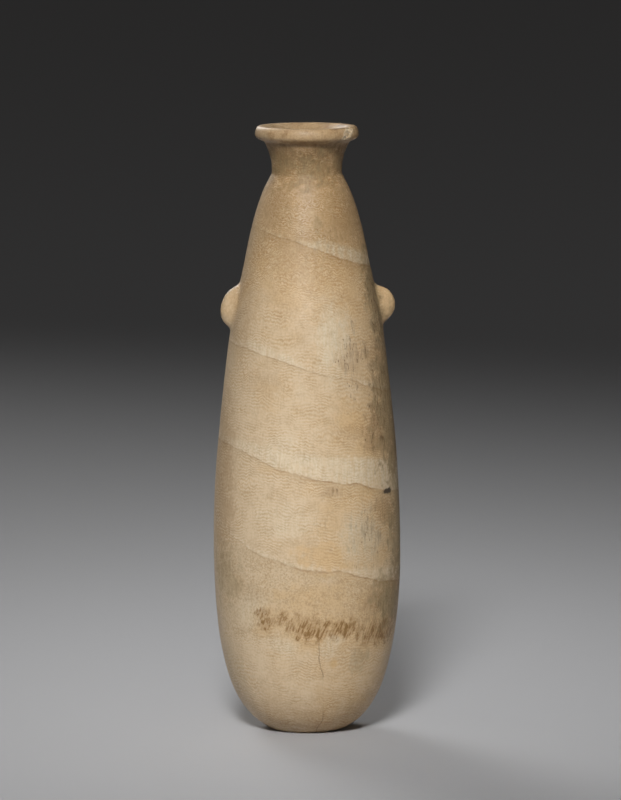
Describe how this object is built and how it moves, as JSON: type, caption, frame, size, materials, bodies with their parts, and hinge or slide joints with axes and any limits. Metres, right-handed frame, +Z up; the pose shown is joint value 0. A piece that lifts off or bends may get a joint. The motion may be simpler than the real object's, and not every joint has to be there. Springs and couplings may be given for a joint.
{
  "type": "alabastron",
  "caption": "Tall carved-stone perfume flask: drop-shaped body on a small flat foot, flared neck with a dished disc rim, solid side lugs and a narrow bore into the hollow.",
  "frame": {"origin": "centre of the foot's flat underside", "axes": "+Z up the flask's own axis to the mouth, X through the two side lugs with the drooping lug at -X, -Y to the side that the picture shows"},
  "size_m": [0.0838, 0.0838, 0.27],
  "materials": {
    "stone": "satin"
  },
  "bodies": {
    "root": {"alabastron": "stone"}
  },
  "joints": []
}
